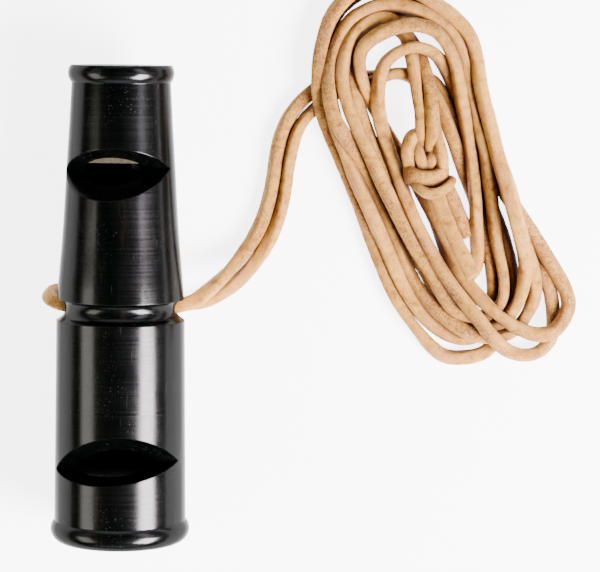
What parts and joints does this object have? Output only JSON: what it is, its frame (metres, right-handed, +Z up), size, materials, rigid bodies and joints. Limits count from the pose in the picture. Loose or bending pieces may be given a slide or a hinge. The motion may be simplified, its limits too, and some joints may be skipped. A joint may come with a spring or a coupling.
{
  "type": "training whistle",
  "caption": "Two-tone dog training whistle in turned horn, with a plain chamber, a trill chamber with a cork pea, and a leather thong lanyard in a loose hank.",
  "frame": {"origin": "centre of the whistle body's footprint on the surface it lies on, under its axis at half its length", "axes": "+Y along the whistle's axis towards its narrow plain-note end, +Z up with both windows up, +X towards the lanyard's hank"},
  "size_m": [0.0918, 0.0937, 0.0236],
  "materials": {
    "horn": "polished black horn",
    "pale_wood": "sawn pale wood",
    "dark_wood": "dark stained wood",
    "cork": "natural cork",
    "thong": "undyed suede leather"
  },
  "bodies": {
    "whistle": {"whistle_body": "horn", "upper_block": "pale_wood", "lower_block": "dark_wood", "lead_right": "thong", "lead_left": "thong", "cord_hank": "thong", "cord_knot": "thong", "tail_long": "thong", "tail_short": "thong"},
    "pea": {"cork_pea": "cork"}
  },
  "joints": [
    {"name": "pea_slide", "type": "slide", "parent": "whistle", "child": "pea", "axis": [0, -1, 0], "range_m": [0, 0.0127]}
  ]
}
